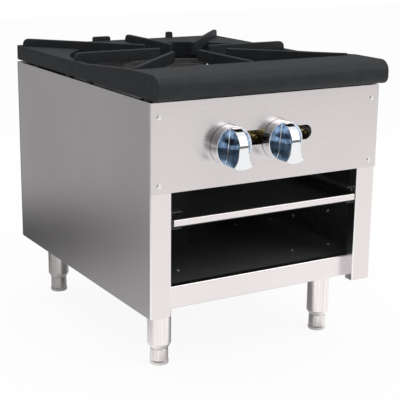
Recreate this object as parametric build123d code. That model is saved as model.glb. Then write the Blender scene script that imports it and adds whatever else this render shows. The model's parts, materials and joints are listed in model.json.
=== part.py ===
from build123d import *
import os
from math import cos, radians, sin, sqrt

# Free-standing single-burner stock-pot gas range, in millimetres. +X is the cook's right, +Y is
# towards the back and +Z is up. The origin is on the floor, under the centre of the bounding box.

os.makedirs("parts", exist_ok=True)

# ---------------------------------------------------------------- driving dimensions
cab_w = 457.0            # width over the side panels
cab_d = 562.0            # front face of the columns to the outside of the back panel
cab_h = 360.0            # underside of the cabinet to its top edge
leg_h = 114.0            # floor to the underside of the cabinet

sheet = 1.2              # stainless sheet
liner_t = 1.0            # black enamelled inner sheet
bend_r = 1.9             # radius of a sheet bend, at mid thickness
lap = 0.3                # gap between sheets that only lie near each other
running = 0.05           # radial clearance of a turning fit
slack = 0.3              # gap between pieces that pass or hang close

col_w = 39.4             # front column, across
col_return = 20.1        # front column, how far its inner edge turns back
hem = 15.0               # other turned-in edges of the side panels

# valve panel
vp_z = 211.6             # its lower edge above the cabinet's underside
vp_lip = 12.0            # its turned-back lower and upper edges
vp_screw_in = 15.4       # screws from the cabinet's sides
vp_screw_low = 13.0      # lower screws above the panel's lower edge
vp_screw_top = 24.0      # upper screws below the cabinet's top
slot_h = 25.4            # obround valve slot
slot_x0 = -104.0         # its ends along X
slot_x1 = 84.0
slot_z = 288.0           # its centre line

# knobs and valves
knob_x = (-85.3, 16.3)   # left and right knob, 101.6 apart
knob_z = 281.0
knob_r = 34.0
knob_out = 51.5          # front of the grip bar ahead of the column face
knob_gap = 0.9           # knob behind edge to panel
knob_skirt = 20.0        # depth of the round skirt
knob_lip = 1.5           # rim left round the skirt's dished front
dish_deep = 4.0          # depth of the dish at its centre
knob_edge = 1.0          # rounding of the rim and of the grip bar's front
bar_root = 1.5           # rounding between the bar and the dish
bar_bevel = (3.5, 6.0)   # lower end of the bar's front, depth and height
grip_bar = ((8.3, 36), (8.3, 12), (9.6, -6), (12.2, -18), (17, -26), (30, -38))  # half width, height
stem_r = 4.0
stem_flat = 3.1          # D flat of the stem, from its axis
valve_r = 12.0
manifold_y = 42.0        # manifold pipe, behind the column face
manifold_z = 248.0
pipe_r = 13.35           # 3/4 inch iron pipe
pipe_wall = 2.9
manifold_x0 = -122.0     # closed end of the manifold
supply_x = 184.0         # supply pipe along the right side
inlet_out = 25.5         # inlet nipple behind the back panel
thread_len = 15.0        # threaded end of the inlet
thread_r = 12.9          # to the root of its thread
elbow_r = 17.5
spigot_r = 6.5           # valve inlet stub in the manifold
pilot_spigot_r = 4.0
pilot_x = (-15.0, 86.5)  # pilot valves on the manifold, beside the burner valves

# base
shelf_top = 41.6         # shelf surface above the cabinet's underside
rail_z0 = 4.4            # stainless front rail
rail_top = 43.7
rail_flange = 14.0       # its turned-back edges
channel_in = 34.0        # leg channel walls, from the cabinet's side
channel_out = 93.0
channel_lip = 26.0
channel_t = 2.5
channel_z = 2.0          # underside of the channel's web
leg_x_in = 57.9          # leg centres from the cabinet's sides
leg_front_in = 76.1      # front leg centres behind the column face
leg_rear_in = 48.3       # rear leg centres from the back
shelf_screw_rows = (97.0, 294.0, 491.0)

# legs
leg_r = 20.65            # 1 5/8 inch tube
leg_wall = 1.5
leg_taper_z = 38.5       # the tube starts to taper here
leg_foot_r = 16.2        # radius at the end of the taper
foot_top = 30.2
foot_r = 15.6
foot_rim_r = 16.75
foot_travel = 25.0
stud_r = 6.0

# drip tray and its runners
runner_z0 = 149.0
runner_z1 = 178.0
runner_lip = 20.0
tray_side_gap = 4.0      # tray to the columns' inner edges, each side
tray_len = 520.0
tray_floor_t = 1.0
tray_wall_top = 163.0
tray_lip_z0 = 153.6
tray_lip_z1 = 165.0
tray_lip_t = 7.0

# cast-iron top
grate_gap = 3.5          # air gap over the cabinet, bridged by the rest pads
side_z = 32.0            # sides and rear of the casting above the cabinet
ledge_z = 45.0           # front ledge
finger_z = 46.3          # top of the fingers
finger_z0 = 26.0
finger_t = 8.0
finger_round = 1.6       # rounding along a finger's top edges
tip_r = 11.0             # rounding of a finger's outer end
sink_r = 2.0             # the same where the end is sunk in the casting
straight_in = 53.0       # inner ends of the straight and the diagonal fingers, from the centre
diagonal_in = 80.0
rear_angle = 48.8        # rear diagonal fingers, from the side
rear_seat = 31.5         # straight rear finger on the rear plate
finger_end_in = 3.5      # fingers' ends from the casting's sides
finger_bite = 1.0
edge_r = 2.5             # rounding of the casting's outer edges
rim_r = 2.0              # rounding of the opening's edge
ledge_out = 26.0         # ledge ahead of the columns
ledge_back = 62.0        # inner edge of the ledge
nose_r = 20.0
nose_low_r = 13.0
ramp_y0 = 65.0           # the sides slope down between these two
ramp_y1 = 245.0
side_rim = 12.0          # width of the casting beside the opening
cast_t = 7.0
burner_y = 292.0         # centre of the burner and of the fingers
arch_y = 285.0           # centre of the opening's round back half
pad_rows = (14.0, 232.0, 317.0, 462.0)

# burner
ring_z0 = 345.0
ring_h = 25.0
outer_ring = 105.0       # middle radius
inner_ring = 38.0
outer_half = 14.0        # half the ring's width
inner_half = 12.0
ring_wall = 4.0
venturi_r = 13.0
venturi_bore = 10.0
mixer_r = 22.0
mixer_y = 84.0           # front of the mixer face
bend = 30.0              # bend of the mixing tube
rail_y_in = 95.0         # burner rail front edges from the burner's centre
rail_leg = 17.0
rail_t = 3.0
pilot_tube_r = 3.175

# ---------------------------------------------------------------- places worked out from them
F = (knob_out - cab_d - inlet_out) / 2      # y of the column face
B = F + cab_d                               # y of the back panel's outside
Z0 = leg_h
ZT = leg_h + cab_h
W2 = cab_w / 2
KZ = Z0 + knob_z
MY = F + manifold_y
MZ = Z0 + manifold_z
BY = F + burner_y
RZ = Z0 + ring_z0
col_in = W2 - col_w                         # inner edge of a column
wall_in = W2 - sheet                        # inside of a side panel
liner_in = wall_in - liner_t
half = sheet / 2
panel_front = F - sheet


def block(x0, x1, y0, y1, z0, z1):
    """A box between two corners."""
    return Pos(x0, y0, z0) * Box(x1 - x0, y1 - y0, z1 - z0, align=(Align.MIN,) * 3)


def rod(x, y, z, r, length, axis="z"):
    """A cylinder that starts at a point and runs along +X, +Y or +Z."""
    turn = {"x": Rot(0, 90, 0), "y": Rot(-90, 0, 0), "z": Rot(0, 0, 0)}[axis]
    return Pos(x, y, z) * turn * Cylinder(r, length, align=(Align.CENTER, Align.CENTER, Align.MIN))


def spun(outline, x=0.0, y=0.0, axis="z", z=0.0):
    """Turn a closed outline of (radius, height) points about an axis through (x, y, z)."""
    face = make_face(Polyline(*[(r, 0, h) for r, h in outline], close=True))
    body = revolve(face, Axis.Z, 360)
    turn = {"y": Rot(-90, 0, 0), "z": Rot(0, 0, 0)}[axis]
    return Pos(x, y, z) * turn * body


def folded(points, t, plane, depth, r=bend_r):
    """Sheet of thickness t bent along a line of points in a plane, and run on by depth."""
    line = FilletPolyline(*points, radius=r) if len(points) > 2 else Line(*points)
    return extrude(plane * trace(line, line_width=t), amount=depth)


def mirrored(shape):
    """The same piece on the other side of the cabinet."""
    return mirror(shape, about=Plane.YZ)


def group(pieces):
    return Compound(children=list(pieces))


def save(name, shape):
    export_step(shape, f"parts/{name}.step")


def pan_screw(x, y, z, way, r=4.0, head=1.8, shank_r=1.95, length=7.0):
    """Cross-head screw; (x, y, z) is under its head and way is where the head faces."""
    dome = Cylinder(r, head, align=(Align.CENTER, Align.CENTER, Align.MIN))
    dome = fillet(dome.edges().sort_by(Axis.Z)[-1], head * 0.6)
    cross = Box(r * 1.1, 0.8, 1.4) + Box(0.8, r * 1.1, 1.4)
    screw = dome - Pos(0, 0, head) * cross
    screw += Pos(0, 0, -length) * Cylinder(shank_r, length, align=(Align.CENTER, Align.CENTER, Align.MIN))
    turn = {"-y": Rot(90, 0, 0), "+y": Rot(-90, 0, 0), "+z": Rot(0, 0, 0),
            "+x": Rot(0, 90, 0), "-x": Rot(0, -90, 0)}[way]
    return Pos(x, y, z) * turn * screw


def hex_rod(x, y, z, flat_r, length, axis="z"):
    """A hexagon bar, flat_r from its axis to a flat."""
    turn = {"x": Rot(0, 90, 0), "y": Rot(-90, 0, 0), "z": Rot(0, 0, 0)}[axis]
    return Pos(x, y, z) * turn * extrude(RegularPolygon(flat_r, 6, major_radius=False), amount=length)


# ---------------------------------------------------------------- cabinet
screw_clear = 2.1
shelf_screw_x = (channel_in - channel_lip / 2, channel_out + channel_lip / 2)
liner_screws_at = ((127.0, 97.0), (239.0, 60.0), (127.0, 300.0), (462.0, 300.0))
runner_screw = (12.0, 170.0)
vp_screw_z = (Z0 + vp_z + vp_screw_low, ZT - vp_screw_top)
vp_screw_x = W2 - vp_screw_in


def side_panel():
    """Left side: wall, front column with its return, and the turned-in rear edge."""
    rear = B - sheet - half
    path = [(-wall_in + hem, rear), (-W2 + half, rear), (-W2 + half, F + half),
            (-col_in - half, F + half), (-col_in - half, F + col_return)]
    body = folded(path, sheet, Plane.XY.offset(Z0), cab_h)
    edge_y = B - 2 * sheet - bend_r
    body += block(-wall_in - half, -wall_in + hem, F + sheet + bend_r, edge_y, ZT - sheet, ZT)
    body += block(-wall_in - half, -wall_in + hem, F + col_return, edge_y, Z0, Z0 + sheet)
    for z in vp_screw_z:
        body -= rod(-vp_screw_x, F - 1, z, screw_clear, 4, "y")
    body -= rod(-col_in - 3, F + runner_screw[0], Z0 + runner_screw[1], screw_clear, 6, "x")
    for z in back_screw_z:
        body -= rod(-back_screw_x, B - 2 * sheet - 1, z, screw_clear, 4, "y")
    return body


back_screw_x = wall_in - hem / 2
back_screw_z = (Z0 + 60, Z0 + 180, Z0 + 300)
left_side = side_panel()
save("side_panel_left", left_side)
save("side_panel_right", mirrored(left_side))

left_liner = block(-wall_in, -liner_in, F + col_return + slack, B - 2 * sheet - bend_r,
                   Z0 + shelf_top, ZT - sheet - lap)
for y, z in liner_screws_at:
    left_liner -= rod(-wall_in, F + y, Z0 + z, screw_clear, 2 * liner_t, "x")
save("inner_liner_left", left_liner)
save("inner_liner_right", mirrored(left_liner))
left_liner_screws = [pan_screw(-liner_in, F + y, Z0 + z, "+x", r=3.4, length=liner_t)
                     for y, z in liner_screws_at]
save("liner_screws", group(left_liner_screws + [mirrored(s) for s in left_liner_screws]))

back = block(-W2 + lap, W2 - lap, B - sheet, B, Z0 + lap, ZT - lap)
back -= rod(supply_x, B - 5, MZ, pipe_r + slack, 10, "y")
for side in (-1, 1):
    for z in back_screw_z:
        back -= rod(side * back_screw_x, B - 5, z, screw_clear, 10, "y")
runner_back_x = col_in - runner_lip / 2
runner_mid_z = Z0 + (runner_z0 + runner_z1) / 2
for side in (-1, 1):
    back -= rod(side * runner_back_x, B - 5, runner_mid_z, screw_clear, 10, "y")
save("back_panel", back)
save("back_panel_screws", group(pan_screw(s * back_screw_x, B, z, "+y", r=3.6, length=2 * sheet)
                                for s in (-1, 1) for z in back_screw_z))

slot = SlotOverall(slot_x1 - slot_x0, slot_h)
panel_z1 = ZT - lap
valve_panel = block(-W2 + lap, W2 - lap, panel_front, F, Z0 + vp_z, panel_z1)
valve_panel += block(-col_in + slack, col_in - slack, panel_front, F + vp_lip, Z0 + vp_z, Z0 + vp_z + sheet)
valve_panel += block(-col_in + slack, col_in - slack, panel_front, F + vp_lip, panel_z1 - sheet, panel_z1)
valve_panel -= Pos((slot_x0 + slot_x1) / 2, F + 1, Z0 + slot_z) * Rot(90, 0, 0) * extrude(slot, 3 * sheet)
for side in (-1, 1):
    for z in vp_screw_z:
        valve_panel -= rod(side * vp_screw_x, F - 3, z, screw_clear, 6, "y")
save("valve_panel", valve_panel)
save("valve_panel_screws", group(pan_screw(s * vp_screw_x, panel_front, z, "-y", length=3 * sheet)
                                 for s in (-1, 1) for z in vp_screw_z))

# rear cross rail under the cabinet's top, between the side panels
top_rail = folded([(B - sheet - 1.6 - 22, ZT - sheet - 1.1), (B - sheet - 1.1, ZT - sheet - 1.1),
                   (B - sheet - 1.1, ZT - 26)], 1.6, Plane.YZ.offset(-liner_in + hem + 1),
                  2 * (liner_in - hem - 1))
save("rear_top_rail", top_rail)

# ---------------------------------------------------------------- base
shelf_front = F + col_return + sheet
shelf = block(-liner_in, liner_in, shelf_front + bend_r, B - 2 * sheet - lap,
              Z0 + shelf_top - sheet, Z0 + shelf_top)
shelf += block(-liner_in, liner_in, B - 3 * sheet - lap, B - 2 * sheet - lap,
               Z0 + shelf_top - 18, Z0 + shelf_top)
screws_at = [(s * (W2 - x), F + y) for s in (-1, 1) for x in shelf_screw_x for y in shelf_screw_rows]
for x, y in screws_at:
    shelf -= rod(x, y, Z0 + shelf_top - 5, screw_clear, 10)
save("base_shelf", shelf)

rail_y = F + col_return
front_rail = folded([(rail_y + rail_flange, Z0 + rail_z0 + half), (rail_y + half, Z0 + rail_z0 + half),
                     (rail_y + half, Z0 + rail_top - half), (rail_y + rail_flange, Z0 + rail_top - half)],
                    sheet, Plane.YZ.offset(-W2 + hem + 3), 2 * (W2 - hem - 3))
save("base_front_rail", front_rail)


def leg_channel():
    """Left hat channel under the shelf that carries the two left legs."""
    ht = channel_t / 2
    top = Z0 + shelf_top - sheet - ht
    low = Z0 + channel_z + ht
    path = [(-W2 + channel_in - channel_lip, top), (-W2 + channel_in, top), (-W2 + channel_in, low),
            (-W2 + channel_out, low), (-W2 + channel_out, top), (-W2 + channel_out + channel_lip, top)]
    length = cab_d - col_return - rail_flange - 4 * sheet
    body = folded(path, channel_t, Plane.XZ.offset(-(F + col_return + rail_flange + slack)), -length, r=3.0)
    for y in leg_ys:
        body -= rod(-leg_x, y, Z0, stud_r + running, 10)
    for x in shelf_screw_x:
        for y in shelf_screw_rows:
            body -= rod(-W2 + x, F + y, Z0 + shelf_top - 8, screw_clear, 10)
    return body


leg_x = W2 - leg_x_in
leg_ys = (F + leg_front_in, B - leg_rear_in)
channel = leg_channel()
save("leg_channel_left", channel)
save("leg_channel_right", mirrored(channel))
save("shelf_screws", group(pan_screw(x, y, Z0 + shelf_top, "+z", r=3.6, head=1.6,
                                     length=sheet + channel_t + 1) for x, y in screws_at))

leg_top = Z0 + channel_z
nut_seat = Z0 + channel_z + channel_t
ends = {"front": leg_ys[0], "rear": leg_ys[1]}
sides = {"left": -leg_x, "right": leg_x}
stud_len = 18.0
stud_top = foot_top + foot_travel + 15.0
for end, y in ends.items():
    for side, x in sides.items():
        tube = spun([(0, leg_top), (leg_r, leg_top), (leg_r, leg_taper_z), (leg_foot_r, foot_top + slack),
                     (stud_r + running, foot_top + slack), (stud_r + running, leg_taper_z + 4),
                     (leg_r - leg_wall, leg_taper_z + 4), (leg_r - leg_wall, leg_top - 4),
                     (0, leg_top - 4)], x, y)
        tube += rod(x, y, leg_top, stud_r, stud_len)
        save(f"leg_{end}_{side}", tube)
        foot = spun([(0, 0), (foot_rim_r - 1.2, 0), (foot_rim_r, 1.2), (foot_rim_r, 5.0),
                     (foot_r + 0.4, 8.0), (foot_r, foot_top - 1.5), (foot_r - 1.5, foot_top),
                     (stud_r, foot_top), (stud_r, stud_top), (0, stud_top)], x, y)
        save(f"foot_{end}_{side}", foot)
save("leg_nuts", group(hex_rod(x, y, nut_seat, 9.5, 9.0) - rod(x, y, nut_seat - 1, stud_r + running, 12)
                       for y in ends.values() for x in sides.values()))

# ---------------------------------------------------------------- drip tray and its runners
def tray_runner():
    """Left C runner, screwed to the column's return and to the back panel."""
    inner = -col_in + runner_lip
    path = [(inner, Z0 + runner_z0 + half), (-col_in + half, Z0 + runner_z0 + half),
            (-col_in + half, Z0 + runner_z1 - half), (inner, Z0 + runner_z1 - half)]
    y0 = F + sheet + lap
    body = folded(path, sheet, Plane.XZ.offset(-y0), -(B - 2 * sheet - y0))
    body += block(-col_in, inner, B - 2 * sheet, B - sheet, Z0 + runner_z0, Z0 + runner_z1)
    body -= rod(-col_in - 3, F + runner_screw[0], Z0 + runner_screw[1], screw_clear, 6, "x")
    body -= rod(-runner_back_x, B - 5, runner_mid_z, screw_clear, 10, "y")
    return body


runner = tray_runner()
save("tray_runner_left", runner)
save("tray_runner_right", mirrored(runner))
front_screw = pan_screw(-col_in + sheet, F + runner_screw[0], Z0 + runner_screw[1], "+x", r=3.0, head=1.2,
                        length=2 * sheet)
rear_screw = pan_screw(-runner_back_x, B, runner_mid_z, "+y", r=3.6, length=2 * sheet)
save("runner_screws", group([front_screw, mirrored(front_screw), rear_screw, mirrored(rear_screw)]))

tray_z0 = Z0 + runner_z0 + sheet + slack
tray_y0 = F + tray_lip_t - sheet
tray_half_w = col_in - tray_side_gap
tray_x = tray_half_w - 0.5
pan_t = tray_floor_t
pan = block(-tray_x, tray_x, tray_y0, tray_y0 + tray_len, tray_z0, Z0 + tray_wall_top)
pan -= block(-tray_x + pan_t, tray_x - pan_t, tray_y0 + pan_t, tray_y0 + tray_len - pan_t,
             tray_z0 + pan_t, Z0 + tray_wall_top + 1)
save("drip_tray", pan)
lip_low, lip_high = Z0 + tray_lip_z0 + half, Z0 + tray_lip_z1 - half
lip = folded([(tray_y0 - half, Z0 + tray_lip_z0 + 0.2), (tray_y0 - half, lip_high),
              (panel_front + half, lip_high), (panel_front + half, lip_low),
              (tray_y0 - 3 * half - 0.4, lip_low)], sheet, Plane.YZ.offset(-tray_half_w),
             2 * tray_half_w, r=1.2)
save("drip_tray_lip", lip)

# ---------------------------------------------------------------- cast-iron top
pad_w = 9.0
pads = [block(W2 - pad_w - 0.5, W2 - 0.5, F + y - 7, F + y + 7, ZT, ZT + grate_gap) for y in pad_rows]
save("grate_rest_pads", group(pads + [mirrored(p) for p in pads]))


def casting_outline(t):
    """Side view of the casting's outside, pulled in by t."""
    y_front = F - ledge_out + t
    r1 = nose_r - t
    r2 = max(nose_low_r - t, 1.0)
    low = ZT + grate_gap
    top = ZT + ledge_z - t
    s = sqrt(0.5)
    back_y = B - t
    outline = [
        Line((y_front + r2, low), (back_y, low)),
        Line((back_y, low), (back_y, ZT + side_z - t)),
        Line((back_y, ZT + side_z - t), (F + ramp_y1, ZT + side_z - t)),
        Line((F + ramp_y1, ZT + side_z - t), (F + ramp_y0, top)),
        Line((F + ramp_y0, top), (y_front + r1, top)),
        ThreePointArc((y_front + r1, top), (y_front + r1 * (1 - s), top - r1 * (1 - s)),
                      (y_front, top - r1)),
        Line((y_front, top - r1), (y_front, low + r2)),
        ThreePointArc((y_front, low + r2), (y_front + r2 * (1 - s), low + r2 * (1 - s)),
                      (y_front + r2, low)),
    ]
    return Plane.YZ * make_face(outline)


def opening(grow, z0, z1):
    """Arch-shaped hole of the casting, grown by a wall: square in front and round behind."""
    r = W2 - side_rim + grow
    y0 = F + ledge_back - grow
    yc = F + arch_y
    hole = make_face([Line((-r, yc), (-r, y0)), Line((-r, y0), (r, y0)), Line((r, y0), (r, yc)),
                      ThreePointArc((r, yc), (0, yc + r), (-r, yc))])
    return extrude(Pos(0, 0, z0) * hole, amount=z1 - z0)


cast_z0 = ZT + grate_gap
frame = Pos(-W2, 0, 0) * extrude(casting_outline(0), amount=cab_w)
frame = fillet([e for e in frame.edges() if abs(e.center().X) > W2 - 1
                or (e.center().Y > B - 1 and e.center().Z > ZT + side_z - 1)], edge_r)
frame -= opening(0, ZT, ZT + 60)
frame = fillet([e for e in frame.edges() if e.center().Z > ZT + side_z - 7 and abs(e.center().X) < W2 - 5
                and F + 40 < e.center().Y < B - 10], rim_r)
hollow = Pos(-W2 + cast_t, 0, 0) * extrude(casting_outline(cast_t), amount=cab_w - 2 * cast_t)
hollow = hollow - opening(cast_t, ZT, ZT + 60)
hollow = hollow + Pos(0, 0, -3) * hollow
frame -= hollow
lug_t = 7.0
for x0, x1, y0, z0, z1 in ((-65, -27, cab_d - 9, side_z, 41.0), (106, 120, cab_d - 9, side_z, 44.0)):
    lug = block(x0, x1, F + y0, F + y0 + lug_t, ZT + z0, ZT + z1)
    lug = fillet(lug.edges().filter_by(Axis.Y).group_by(Axis.Z)[-1], 4.0)
    frame += lug
save("grate_frame", frame)


def finger(angle, r0, r1, outer_r):
    """One upright finger from radius r0 to r1, with its outer top corner rounded."""
    zt, zb = ZT + finger_z, ZT + finger_z0
    s = sqrt(0.5)
    tip = 2.5
    face = make_face([
        Line((r0, zb), (r0, zt - tip)),
        ThreePointArc((r0, zt - tip), (r0 + tip * (1 - s), zt - tip * (1 - s)), (r0 + tip, zt)),
        Line((r0 + tip, zt), (r1 - outer_r, zt)),
        ThreePointArc((r1 - outer_r, zt), (r1 - outer_r * (1 - s), zt - outer_r * (1 - s)),
                      (r1, zt - outer_r)),
        Line((r1, zt - outer_r), (r1, zb)),
        Line((r1, zb), (r0, zb)),
    ])
    plate = extrude(Plane.XZ * face, amount=finger_t / 2, both=True)
    plate = fillet([e for e in plate.edges() if e.center().Z > zt - outer_r / 2 - 0.5
                    and abs(abs(e.center().Y) - finger_t / 2) < 0.01], finger_round)
    return Pos(0, BY, 0) * Rot(0, 0, angle) * plate


open_half = W2 - side_rim
front_run = burner_y - ledge_back
side_reach = W2 - finger_end_in
rear_reach = arch_y + open_half - burner_y + rear_seat
front_diagonal = min(open_half, front_run) / sin(radians(45)) - finger_bite
rear_diagonal = (side_reach - finger_t / 2) / cos(radians(rear_angle))
finger_plan = {0: (straight_in, side_reach, tip_r), 180: (straight_in, side_reach, tip_r),
               90: (straight_in, rear_reach, tip_r),
               270: (straight_in, front_run + finger_bite, sink_r),
               rear_angle: (diagonal_in, rear_diagonal, tip_r),
               180 - rear_angle: (diagonal_in, rear_diagonal, tip_r),
               225: (diagonal_in, front_diagonal, sink_r), 315: (diagonal_in, front_diagonal, sink_r)}
fingers = [finger(a, *size) - frame for a, size in finger_plan.items()]
save("grate_fingers", group(fingers))

# ---------------------------------------------------------------- burner
def burner_ring(mid, half_w, ports, inlet):
    """Hollow cast ring with a row of ports on each side of its crown, feet and a gas inlet below."""
    out, inn = mid + half_w, mid - half_w
    w = ring_wall
    body = spun([(inn, RZ), (out, RZ), (out, RZ + ring_h - 6), (out - 5, RZ + ring_h),
                 (inn + 5, RZ + ring_h), (inn, RZ + ring_h - 6)], 0, BY)
    body -= spun([(inn + w, RZ + w), (out - w, RZ + w), (out - w, RZ + ring_h - w - 3),
                  (inn + w, RZ + ring_h - w - 3)], 0, BY)
    for r in (mid - half_w / 2.6, mid + half_w / 2.6):
        drill = rod(r, 0, RZ + ring_h - 12, 1.4, 14)
        body -= [Pos(0, BY, 0) * Rot(0, 0, 360 / ports * i) * drill for i in range(ports)]
    body -= rod(inlet[0], BY + inlet[1], RZ - 1, venturi_bore - 1, ring_wall + 2)
    return body


outer_in = (knob_x[0], -sqrt(outer_ring ** 2 - knob_x[0] ** 2))
inner_in = (knob_x[1], -sqrt(inner_ring ** 2 - knob_x[1] ** 2))
foot_dy = rail_y_in - rail_leg / 2
foot_dx = sqrt(outer_ring ** 2 - foot_dy ** 2)
rail_z = RZ - 5.0
bar_t = 3.0
bar_x = (-25.0, 38.0)
bar_w = 12.0
outer = burner_ring(outer_ring, outer_half, 36, outer_in)
outer += [rod(sx * foot_dx, BY + sy * foot_dy, rail_z, 5.0, RZ - rail_z)
          for sx in (-1, 1) for sy in (-1, 1)]
save("outer_burner_ring", outer)
inner = burner_ring(inner_ring, inner_half, 18, inner_in)
bar_dy = sqrt(inner_ring ** 2 - bar_x[0] ** 2)
inner += [rod(x, BY + y, rail_z + bar_t, 4.0, RZ - rail_z - bar_t)
          for x, y in ((bar_x[0], bar_dy), (bar_x[0], -bar_dy), (bar_x[1] - 2, 0))]
save("inner_burner_ring", inner)

for name, way in (("front", -1), ("rear", 1)):
    y = BY + way * rail_y_in
    angle = [(y - way * rail_leg, rail_z - rail_t / 2), (y - way * rail_t / 2, rail_z - rail_t / 2),
             (y - way * rail_t / 2, rail_z - 15)]
    save(f"burner_rail_{name}", folded(angle, rail_t, Plane.YZ.offset(-liner_in), 2 * liner_in, r=2.2))
save("inner_burner_bars", group(block(x - bar_w / 2, x + bar_w / 2, BY - rail_y_in + 2, BY + rail_y_in - 2,
                                      rail_z, rail_z + bar_t) for x in bar_x))


def mixing_tube(x, rise_y):
    """Bell-mouthed tube from behind the valve, bent up into its burner ring."""
    y0 = F + mixer_y
    hub_r, hub_bore = 8.0, 4.6
    straight = rise_y - bend - y0
    bell = spun([(hub_bore, -3), (hub_r, -3), (hub_r, 0), (mixer_r, 0), (mixer_r, 8), (15, 30),
                 (venturi_r, 45), (venturi_r, straight), (venturi_bore, straight), (venturi_bore, 45),
                 (venturi_bore - 1, 38), (mixer_r - 3, 8), (mixer_r - 3, 3), (hub_bore, 3)],
                x, y0, "y", KZ)
    for i in range(3):
        bell -= window(x, y0 - 1, i, 5)
    arc = CenterArc((0, 0), bend, -90, 90)
    elbow_plane = Plane(origin=(x, rise_y - bend, KZ + bend), x_dir=(0, 1, 0), z_dir=(1, 0, 0))
    spine = elbow_plane * arc
    ring = Plane(origin=(x, rise_y - bend, KZ), z_dir=(0, 1, 0)) \
        * (Circle(venturi_r) - Circle(venturi_bore))
    elbow = sweep(ring, path=spine)
    riser = rod(x, rise_y, KZ + bend, venturi_r, RZ - KZ - bend) \
        - rod(x, rise_y, KZ + bend - 1, venturi_bore, RZ - KZ - bend + 2)
    return bell + elbow + riser


def window(x, y, i, depth):
    """One of three air windows round a mixer's axis."""
    a = radians(90 + 120 * i)
    return rod(x + 14.5 * cos(a), y, KZ + 14.5 * sin(a), 4.6, depth, "y")


shutter_t = 1.5
for name, x, entry in (("outer", knob_x[0], outer_in), ("inner", knob_x[1], inner_in)):
    save(f"{name}_mixing_tube", mixing_tube(x, BY + entry[1]))
    shutter = rod(x, F + mixer_y - shutter_t - 0.2, KZ, mixer_r, shutter_t, "y")
    shutter -= rod(x, F + mixer_y - 5, KZ, 8.0 + running, 8, "y")
    for i in range(3):
        shutter -= window(x, F + mixer_y - 5, i, 8)
    shutter += block(x - 3, x + 3, F + mixer_y - 8, F + mixer_y - 0.2, KZ + mixer_r - 2, KZ + mixer_r - 0.5)
    save(f"{name}_air_shutter", shutter)

# ---------------------------------------------------------------- valves, knobs and piping
back_y = panel_front - knob_gap
rim_y = back_y - knob_skirt
knob_front = F - knob_out
knob_low = -knob_r - 1
crown = knob_r - knob_lip                   # radius of the dish and of the bar's rounded top
dish_ball = (crown ** 2 + dish_deep ** 2) / (2 * dish_deep)
(w_top, z_top), (w_low, z_low) = grip_bar[0], grip_bar[-1]
bar_plan = make_face([Spline(*grip_bar), Line((w_low, z_low), (-w_low, z_low)),
                      Spline(*[(-w, z) for w, z in reversed(grip_bar)]), Line((-w_top, z_top), (w_top, z_top))])
bar_outline = make_face([
    Line((back_y, knob_low), (knob_front + bar_bevel[0], knob_low)),
    Line((knob_front + bar_bevel[0], knob_low), (knob_front, knob_low + bar_bevel[1])),
    Line((knob_front, knob_low + bar_bevel[1]), (knob_front, 0)),
    ThreePointArc((knob_front, 0), (knob_front + crown * (1 - sqrt(0.5)), crown * sqrt(0.5)),
                  (knob_front + crown, crown)),
    Line((knob_front + crown, crown), (back_y, crown)),
    Line((back_y, crown), (back_y, knob_low))])
bar_profile = Pos(-W2, 0, KZ) * extrude(Plane.YZ * bar_outline, cab_w)
bonnet_y = F + 9.0
valve_back = F + 56.0
hoods = []
for side, x in zip(("left", "right"), knob_x):
    valve = rod(x, bonnet_y + 4, KZ, valve_r, valve_back - bonnet_y - 4, "y")
    valve += block(x - 17, x + 17, bonnet_y, bonnet_y + 4, KZ - 11, KZ + 11)
    valve += hex_rod(x, MY, MZ + pipe_r + slack, 9.0, KZ - MZ - pipe_r - slack)
    valve += rod(x, MY, MZ + pipe_r - pipe_wall, spigot_r, 10)
    valve -= rod(x, bonnet_y - 1, KZ, stem_r + running, 24, "y")
    valve += [pan_screw(x + s * 13, bonnet_y, KZ, "-y", r=2.6, head=1.6, length=2) for s in (-1, 1)]
    save(f"gas_valve_{side}", valve)
    hood = hex_rod(x, valve_back, KZ, 7.5, 14, "y") + rod(x, valve_back + 14, KZ, 4.3, 14, "y")
    hoods.append(hood - rod(x, valve_back + 4, KZ, 1.2, 30, "y"))
    stem_y0, stem_y1 = F - 24.0, bonnet_y + 20
    stem = rod(x, stem_y0, KZ, stem_r, stem_y1 - stem_y0, "y")
    stem -= block(x - 5, x + 5, stem_y0 - 1, F, KZ + stem_flat, KZ + 6)
    save(f"valve_stem_{side}", stem)

    skirt = rod(x, rim_y, KZ, knob_r, knob_skirt, "y")
    skirt -= Pos(x, rim_y + dish_deep - dish_ball, KZ) * Sphere(dish_ball)
    skirt = fillet([e for e in skirt.edges() if e.center().Y < rim_y + 0.5], knob_edge)
    bar = Pos(x, back_y - 8, KZ) * Rot(90, 0, 0) * extrude(bar_plan, 2 * knob_out)
    bar = bar & bar_profile & rod(x, knob_front - 1, KZ, knob_r, 2 * knob_out, "y")
    bar = fillet([e for e in bar.edges() if e.center().Y < rim_y - 1
                  and abs(e.center().X - x) < knob_r / 2 + 1.5], knob_edge)
    knob = skirt + bar
    knob = fillet([e for e in knob.edges() if abs(e.center().Y - rim_y - 3) < 3.6
                   and abs(e.center().X - x) < 12 and e.length > knob_r], bar_root)
    knob -= rod(x, F - 25.0, KZ, stem_r + running, 40, "y") \
        - block(x - 6, x + 6, F - 26, F + 20, KZ + stem_flat + running, KZ + 8)
    save(f"knob_{side}", knob)

save("orifice_hoods", group(hoods))

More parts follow.
